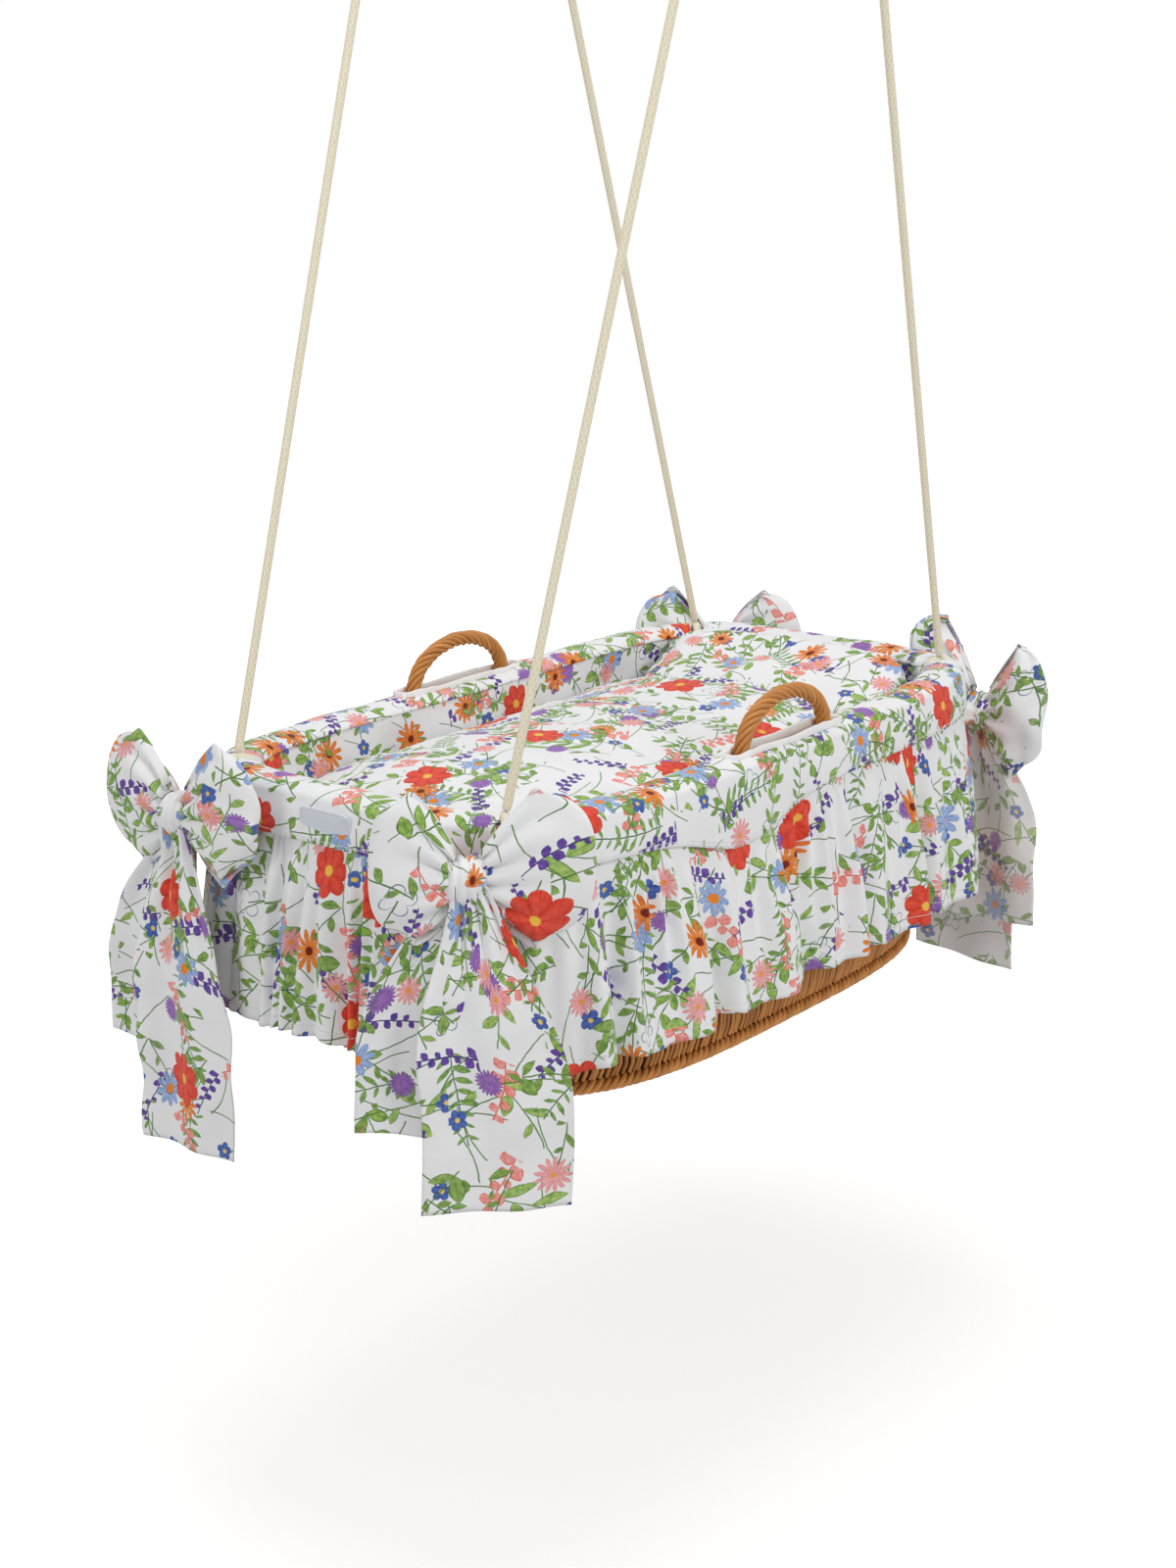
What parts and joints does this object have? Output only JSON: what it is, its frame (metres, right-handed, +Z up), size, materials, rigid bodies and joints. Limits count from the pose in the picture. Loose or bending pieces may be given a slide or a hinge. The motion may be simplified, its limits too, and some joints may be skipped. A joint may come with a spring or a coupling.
{
  "type": "hanging baby cradle",
  "caption": "Oval wicker baby basket with a padded cotton cover, gathered ruffle, tied bows and bedding, hung from the ceiling by ropes and free to swing both ways.",
  "frame": {"origin": "on the ceiling plane, straight above the middle of the basket", "axes": "+X towards the head end (the pillow), +Y towards the left side, +Z up"},
  "size_m": [0.9176, 0.5245, 1.133],
  "materials": {
    "wicker": "woven willow, satin",
    "cotton_print": "printed cotton",
    "binding": "white cotton tape",
    "label": "bare smooth patch",
    "mattress_cloth": "plain cotton",
    "rope": "twisted cotton rope",
    "steel": "brushed"
  },
  "bodies": {
    "ceiling_fittings": {"ceiling_eye_foot_left": "steel", "ceiling_eye_foot_right": "steel", "ceiling_eye_head_left": "steel", "ceiling_eye_head_right": "steel"},
    "link_foot_left": {"link_foot_left": "steel"},
    "link_foot_right": {"link_foot_right": "steel"},
    "link_head_left": {"link_head_left": "steel"},
    "link_head_right": {"link_head_right": "steel"},
    "rope_foot_left": {"rope_foot_left": "rope", "rope_eye_foot_left": "rope"},
    "rope_foot_right": {"rope_foot_right": "rope", "rope_eye_foot_right": "rope"},
    "rope_head_left": {"rope_head_left": "rope", "rope_eye_head_left": "rope"},
    "rope_head_right": {"rope_head_right": "rope", "rope_eye_head_right": "rope"},
    "rim_loop_foot_left": {"rim_loop_foot_left": "rope"},
    "rim_loop_foot_right": {"rim_loop_foot_right": "rope"},
    "rim_loop_head_left": {"rim_loop_head_left": "rope"},
    "rim_loop_head_right": {"rim_loop_head_right": "rope"},
    "cradle": {"base_board": "wicker", "wall_weave": "wicker", "rim_border": "wicker", "foot_border": "wicker", "handle_left": "wicker", "handle_right": "wicker", "liner": "cotton_print", "collar": "cotton_print", "ruffle": "cotton_print", "slit_binding_left": "binding", "slit_binding_right": "binding", "label_patch": "label", "bow_foot_left": "cotton_print", "bow_foot_right": "cotton_print", "bow_head_left": "cotton_print", "bow_head_right": "cotton_print"},
    "mattress": {"mattress": "mattress_cloth"},
    "quilt": {"quilt": "cotton_print"},
    "pillow": {"pillow": "cotton_print"}
  },
  "joints": [
    {"name": "swing_endways", "type": "hinge", "parent": "ceiling_fittings", "child": "link_foot_left", "pos_m": [-0.10485, 0.179, -0.0335], "axis": [0, 1, 0], "range_deg": [-5, 5]},
    {"name": "swing_sideways", "type": "hinge", "parent": "link_foot_left", "child": "rope_foot_left", "pos_m": [-0.10965, 0.17851, -0.04875], "axis": [1, 0, 0], "range_deg": [-10, 10]},
    {"name": "loop_foot_left_roll", "type": "hinge", "parent": "rope_foot_left", "child": "rim_loop_foot_left", "pos_m": [-0.34495, 0.15432, -0.79647], "axis": [1, 0, 0], "range_deg": [-11.58, 11.58]},
    {"name": "cradle_pitch", "type": "hinge", "parent": "rim_loop_foot_left", "child": "cradle", "pos_m": [-0.34495, 0.15432, -0.81297], "axis": [0, 1, 0], "range_deg": [-1.73, 1.73]},
    {"name": "link_foot_right_swing", "type": "hinge", "parent": "ceiling_fittings", "child": "link_foot_right", "pos_m": [-0.10485, -0.179, -0.0335], "axis": [0, 1, 0], "range_deg": [-5.02, 5.02]},
    {"name": "rope_foot_right_swing", "type": "hinge", "parent": "link_foot_right", "child": "rope_foot_right", "pos_m": [-0.10965, -0.17851, -0.04875], "axis": [1, 0, 0], "range_deg": [-10.02, 10.02]},
    {"name": "loop_foot_right_pitch", "type": "hinge", "parent": "cradle", "child": "rim_loop_foot_right", "pos_m": [-0.34495, -0.15432, -0.81297], "axis": [0, 1, 0], "range_deg": [-1.73, 1.73]},
    {"name": "link_head_left_swing", "type": "hinge", "parent": "ceiling_fittings", "child": "link_head_left", "pos_m": [0.13115, 0.179, -0.0335], "axis": [0, 1, 0], "range_deg": [-5.03, 5.03]},
    {"name": "rope_head_left_swing", "type": "hinge", "parent": "link_head_left", "child": "rope_head_left", "pos_m": [0.13554, 0.17849, -0.04888], "axis": [1, 0, 0], "range_deg": [-10.23, 10.23]},
    {"name": "loop_head_left_pitch", "type": "hinge", "parent": "cradle", "child": "rim_loop_head_left", "pos_m": [0.34495, 0.15432, -0.79937], "axis": [0, 1, 0], "range_deg": [-2.58, 2.58]},
    {"name": "link_head_right_swing", "type": "hinge", "parent": "ceiling_fittings", "child": "link_head_right", "pos_m": [0.13115, -0.179, -0.0335], "axis": [0, 1, 0], "range_deg": [-5.03, 5.03]},
    {"name": "rope_head_right_swing", "type": "hinge", "parent": "link_head_right", "child": "rope_head_right", "pos_m": [0.13554, -0.17849, -0.04888], "axis": [1, 0, 0], "range_deg": [-10.23, 10.23]},
    {"name": "loop_head_right_pitch", "type": "hinge", "parent": "cradle", "child": "rim_loop_head_right", "pos_m": [0.34495, -0.15432, -0.79937], "axis": [0, 1, 0], "range_deg": [-2.58, 2.58]},
    {"name": "mattress_lift", "type": "slide", "parent": "cradle", "child": "mattress", "axis": [0, 0, 1], "range_m": [0, 0.02]},
    {"name": "quilt_lift", "type": "slide", "parent": "mattress", "child": "quilt", "axis": [0, 0, 1], "range_m": [0, 0.025]},
    {"name": "pillow_lift", "type": "slide", "parent": "quilt", "child": "pillow", "axis": [0, 0, 1], "range_m": [0, 0.035]}
  ],
  "couplings": [
    {"joint": "loop_foot_left_roll", "follows": "swing_sideways", "ratio": -1.1561},
    {"joint": "cradle_pitch", "follows": "swing_endways", "ratio": -0.3412},
    {"joint": "link_foot_right_swing", "follows": "swing_endways", "ratio": 1},
    {"joint": "rope_foot_right_swing", "follows": "swing_sideways", "ratio": 1},
    {"joint": "loop_foot_right_pitch", "follows": "swing_endways", "ratio": 0.3412},
    {"joint": "link_head_left_swing", "follows": "swing_endways", "ratio": 1.0024},
    {"joint": "rope_head_left_swing", "follows": "swing_sideways", "ratio": 1.0214},
    {"joint": "loop_head_left_pitch", "follows": "swing_endways", "ratio": 0.5112},
    {"joint": "link_head_right_swing", "follows": "swing_endways", "ratio": 1.0024},
    {"joint": "rope_head_right_swing", "follows": "swing_sideways", "ratio": 1.0214},
    {"joint": "loop_head_right_pitch", "follows": "swing_endways", "ratio": 0.5113}
  ]
}
